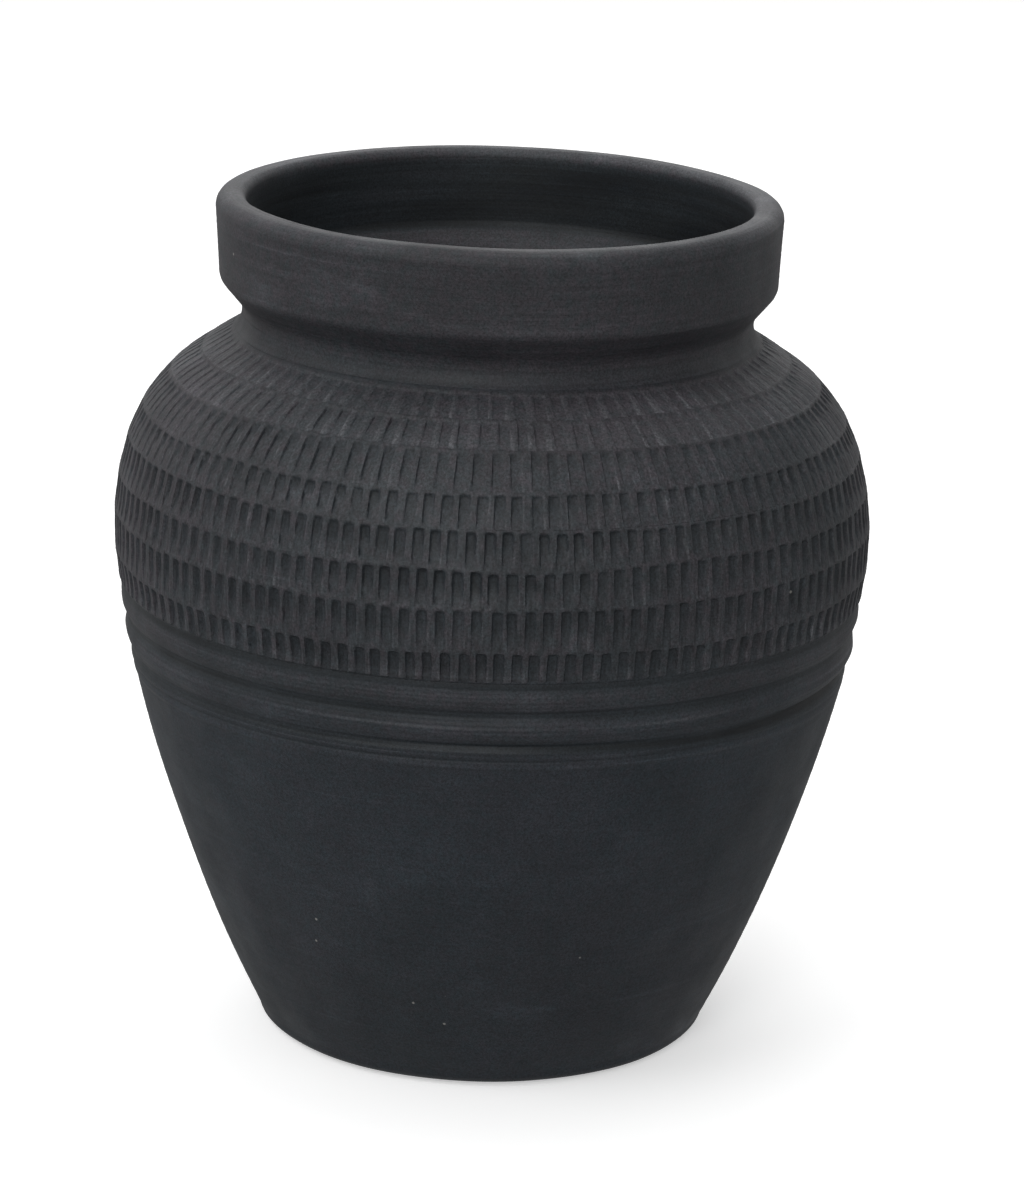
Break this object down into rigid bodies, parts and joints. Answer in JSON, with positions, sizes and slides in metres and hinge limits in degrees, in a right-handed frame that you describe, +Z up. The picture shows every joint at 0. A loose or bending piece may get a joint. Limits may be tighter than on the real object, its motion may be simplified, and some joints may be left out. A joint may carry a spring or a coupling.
{
  "type": "clay storage pot",
  "caption": "Large wide-mouthed storage pot of matte black clay, with a tall straight collar, a round stamped shoulder, rolled belt bands and a long taper to a flat foot.",
  "frame": {"origin": "centre of the flat foot, on the surface the pot stands on", "axes": "+Z up along the pot's axis, out of the mouth; the pot is round, so +X and +Y may point anywhere"},
  "size_m": [0.3814, 0.3812, 0.429],
  "materials": {
    "clay": "matte smoke-fired, unglazed"
  },
  "bodies": {
    "root": {"floor_disc": "clay", "lower_wall": "clay", "belt_ring": "clay", "belly_band": "clay", "shoulder_dome": "clay", "neck_ring": "clay", "rim_collar": "clay"}
  },
  "joints": []
}
